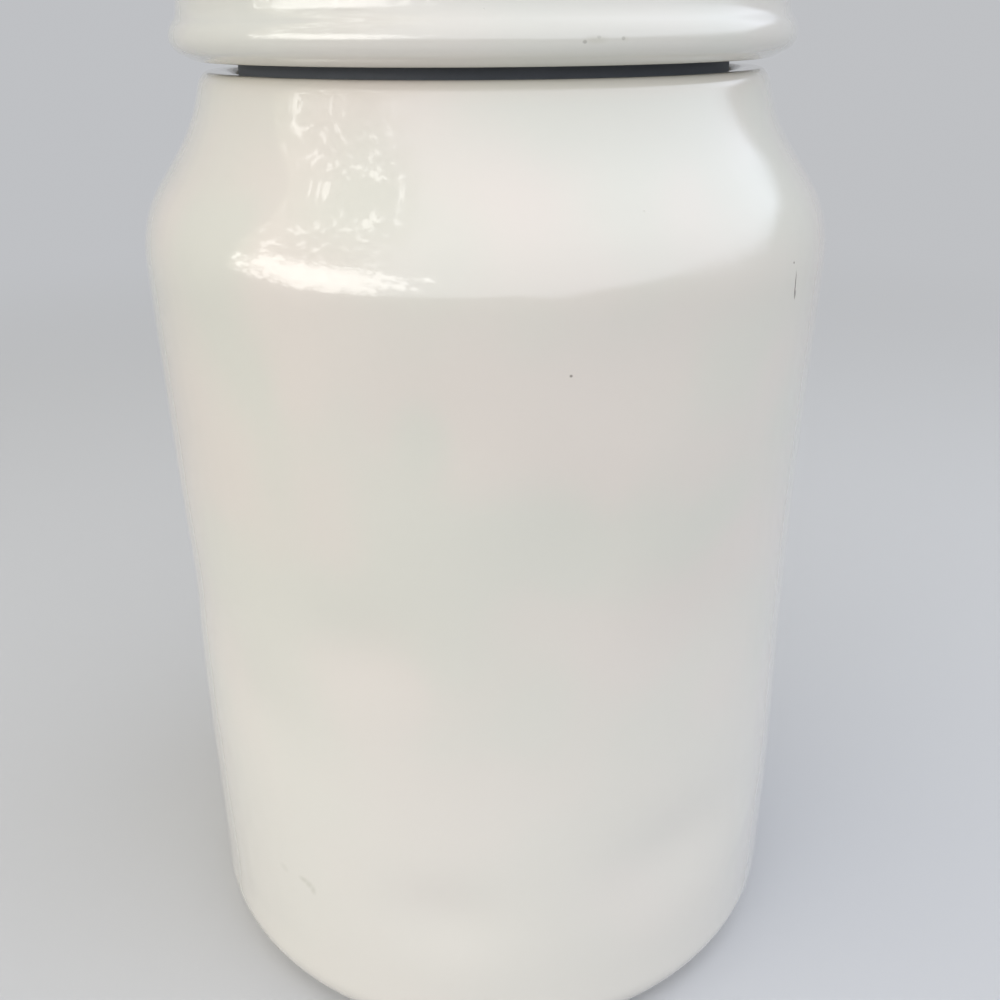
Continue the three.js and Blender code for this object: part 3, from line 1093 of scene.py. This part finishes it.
def make_scrim(look):
    """A large curved scrim in front of the canister and over it, with a low lamp at its left."""
    mesh = scrim_mesh()
    put_on_stage("scrim", mesh).visible_camera = False
    nodes = Nodes("scrim")
    at = nodes.coordinates()
    apart = nodes.add("SeparateXYZ", {0: at}).outputs
    turned = nodes.math("ARCTAN2", apart["X"], nodes.times(apart["Y"], -1.0))
    azimuth = nodes.times(turned, 180 / math.pi)
    ragged = nodes.math("SUBTRACT", nodes.noise(at, DAPPLE_SIZE, 4.0, 0.6), 0.5)
    stray = nodes.times(ragged, nodes.spread(azimuth, *STRAY_WHERE))
    shade = scrim_shade(nodes, nodes.math("ADD", azimuth, stray))
    extra = scrim_spots(nodes, look, azimuth, apart["Z"], ragged)
    begun = nodes.spread(nodes.math("ADD", nodes.given("rise"), ragged), 0, 1)
    inward = nodes.math("SUBTRACT", 1.0, nodes.add("NewGeometry").outputs["Backfacing"])
    cloth, spots = (
        nodes.add("Emission", {"Color": tint, "Strength": nodes.times(inward, level)}).outputs[0]
        for tint, level in ((shade, look.scrim), (SPOT_TINT, extra))
    )
    clear = nodes.add("BsdfTransparent").outputs[0]
    even = nodes.blend(nodes.times(begun, nodes.given("cover")), clear, cloth)
    nodes.show(nodes.add("AddShader", {0: even, 1: spots}).outputs[0])
    mesh.materials.append(nodes.material)


def make_camera(look):
    """The camera at the photograph's place and angle."""
    data = bpy.data.cameras.new("camera")
    data.sensor_width = FULL_FRAME
    data.lens = look.lens
    data.clip_start = NEAREST_SEEN
    camera = put_on_stage("camera", data)
    camera.matrix_world = (
        Matrix.Translation((0, -look.distance, look.camera_height))
        @ Matrix.Rotation(-look.pan, 4, "Z")
        @ Matrix.Rotation(math.pi / 2 - look.tilt, 4, "X")
        @ Matrix.Rotation(look.roll, 4, "Z")
    )
    bpy.context.scene.camera = camera


# Operators and panel.


class CANISTER_OT_jar(Operator):
    """Build the glazed jar in place of the plain one"""

    bl_idname = "canister.jar"
    bl_label = "Build Jar"

    def execute(self, context):
        look = context.scene.canister
        mesh = lathe("glazed_jar", jar_section(look.jar), jar_offset(look.jar))
        finishes = [
            glaze("jar_glaze", look.glaze, JAR_MARKS, JAR_SMUDGES, JAR_WARM, JAR_COOL),
            bare_clay("jar_clay", look.glaze),
        ]
        put_piece("glazed_jar", mesh, "jar", "canister_body", finishes)
        bare_below(mesh, CLAY_TOP)
        return {"FINISHED"}


class CANISTER_OT_lid(Operator):
    """Build the glazed lid in place of the plain one"""

    bl_idname = "canister.lid"
    bl_label = "Build Lid"

    def execute(self, context):
        look = context.scene.canister
        mesh = lathe("glazed_lid", lid_section(look.lid), lid_offset(look.lid))
        finishes = [
            glaze("lid_glaze", look.glaze, LID_MARKS, LID_SMUDGES),
            bare_clay("lid_clay", look.glaze),
        ]
        put_piece("glazed_lid", mesh, "lid_and_seal", "lid", finishes)
        bare_below(mesh, look.lid.plug_bottom + look.lid.bare_height)
        return {"FINISHED"}


class CANISTER_OT_seal(Operator):
    """Build the finned silicone seal in place of the plain one"""

    bl_idname = "canister.seal"
    bl_label = "Build Seal"

    def execute(self, context):
        look = context.scene.canister
        mesh = lathe("silicone_seal", seal_section(look.seal, look.jar), no_offset, closed=True)
        finishes = [silicone("seal_silicone", look.silicone)]
        put_piece("silicone_seal", mesh, "lid_and_seal", "seal_ring", finishes)
        return {"FINISHED"}


class CANISTER_OT_stage(Operator):
    """Set the floor, the soft lights and the camera"""

    bl_idname = "canister.stage"
    bl_label = "Set Stage"

    def execute(self, context):
        look = context.scene.canister.stage
        context.scene.view_settings.view_transform = "Standard"
        make_floor(look)
        make_world(look)
        make_scrim(look)
        make_camera(look)
        return {"FINISHED"}


class VIEW3D_PT_canister(Panel):
    """Sizes, colours and the steps that build the canister"""

    bl_label = "Ceramic Canister"
    bl_space_type = "VIEW_3D"
    bl_region_type = "UI"
    bl_category = "Canister"

    def draw(self, context):
        for operator in OPERATORS:
            self.layout.operator(operator.bl_idname)
        for group in CanisterSettings.__annotations__:
            values = getattr(context.scene.canister, group)
            box = self.layout.box()
            box.label(text=group.title())
            for name in type(values).__annotations__:
                box.prop(values, name)


OPERATORS = (CANISTER_OT_jar, CANISTER_OT_lid, CANISTER_OT_seal, CANISTER_OT_stage)
CLASSES = (
    CanisterJar, CanisterLid, CanisterSeal, CanisterGlaze, CanisterSilicone, CanisterStage,
    CanisterSettings, *OPERATORS, VIEW3D_PT_canister,
)


def register():
    for cls in CLASSES:
        bpy.utils.register_class(cls)
    bpy.types.Scene.canister = PointerProperty(type=CanisterSettings)


def unregister():
    del bpy.types.Scene.canister
    for cls in reversed(CLASSES):
        bpy.utils.unregister_class(cls)


def main():
    register()
    bpy.ops.canister.jar()
    bpy.ops.canister.lid()
    bpy.ops.canister.seal()
    bpy.ops.canister.stage()


if __name__ == "__main__":
    main()
